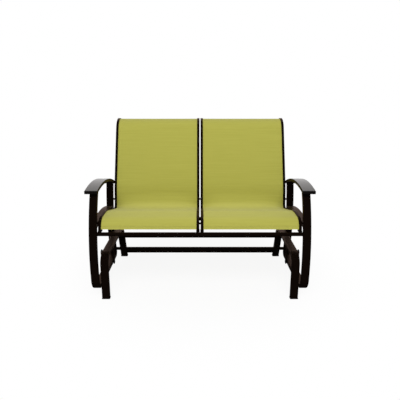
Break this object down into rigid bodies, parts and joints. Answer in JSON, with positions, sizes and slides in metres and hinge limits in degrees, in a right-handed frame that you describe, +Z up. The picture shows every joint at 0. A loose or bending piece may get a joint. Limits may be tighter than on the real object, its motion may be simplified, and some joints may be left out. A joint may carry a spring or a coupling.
{
  "type": "glider bench",
  "caption": "Two-seat patio glider bench: fabric slings on bent rails and tubular side frames with arms that swing on links below a standing tube base.",
  "frame": {"origin": "on the floor, below the middle of the bench", "axes": "+Z up, the bench faces -Y, +X to the right of someone looking at its front"},
  "size_m": [1.27, 0.841, 0.9466],
  "materials": {
    "frame": "satin powder coat",
    "link": "satin powder coat",
    "fabric": "woven",
    "plastic": "matte",
    "hardware": "satin"
  },
  "bodies": {
    "base": {"left_base_frame": "frame", "right_base_frame": "frame", "base_upper_stretcher": "frame", "base_lower_stretcher": "frame", "front_foot_glides": "plastic", "rear_foot_glides": "plastic", "upper_pivot_bolts": "hardware"},
    "seat": {"left_side_frame": "frame", "left_side_rail": "frame", "left_arm": "frame", "left_arm_caps": "plastic", "right_side_frame": "frame", "right_side_rail": "frame", "right_arm": "frame", "right_arm_caps": "plastic", "front_stretcher": "frame", "middle_stretcher": "frame", "rear_stretcher": "frame", "left_inner_sling_rail": "frame", "left_outer_sling_rail": "frame", "left_sling": "fabric", "left_seat_spreader": "frame", "left_back_spreader": "frame", "left_top_spreader": "frame", "right_inner_sling_rail": "frame", "right_outer_sling_rail": "frame", "right_sling": "fabric", "right_seat_spreader": "frame", "right_back_spreader": "frame", "right_top_spreader": "frame", "rail_boots": "plastic", "rail_end_caps": "plastic", "rail_spacers": "frame", "lower_pivot_bolts": "hardware"},
    "front_left_link": {"front_left_link": "link", "front_left_bushings": "plastic"},
    "front_right_link": {"front_right_link": "link", "front_right_bushings": "plastic"},
    "rear_left_link": {"rear_left_link": "link", "rear_left_bushings": "plastic"},
    "rear_right_link": {"rear_right_link": "link", "rear_right_bushings": "plastic"}
  },
  "joints": [
    {"name": "front_left_swing", "type": "hinge", "parent": "base", "child": "front_left_link", "pos_m": [-0.56425, -0.3311, 0.2512], "axis": [1, 0, 0], "range_deg": [-11, 11]},
    {"name": "front_right_swing", "type": "hinge", "parent": "base", "child": "front_right_link", "pos_m": [0.56425, -0.3311, 0.2512], "axis": [1, 0, 0], "range_deg": [-11, 11]},
    {"name": "rear_left_swing", "type": "hinge", "parent": "base", "child": "rear_left_link", "pos_m": [-0.56425, -0.0371, 0.2512], "axis": [1, 0, 0], "range_deg": [-11, 11]},
    {"name": "rear_right_swing", "type": "hinge", "parent": "base", "child": "rear_right_link", "pos_m": [0.56425, -0.0371, 0.2512], "axis": [1, 0, 0], "range_deg": [-11, 11]},
    {"name": "seat_level", "type": "hinge", "parent": "front_left_link", "child": "seat", "pos_m": [-0.56425, -0.3311, 0.0542], "axis": [1, 0, 0], "range_deg": [-11, 11]}
  ],
  "couplings": [
    {"joint": "front_right_swing", "follows": "front_left_swing", "ratio": 1},
    {"joint": "rear_left_swing", "follows": "front_left_swing", "ratio": 1},
    {"joint": "rear_right_swing", "follows": "front_left_swing", "ratio": 1},
    {"joint": "seat_level", "follows": "front_left_swing", "ratio": -1}
  ]
}
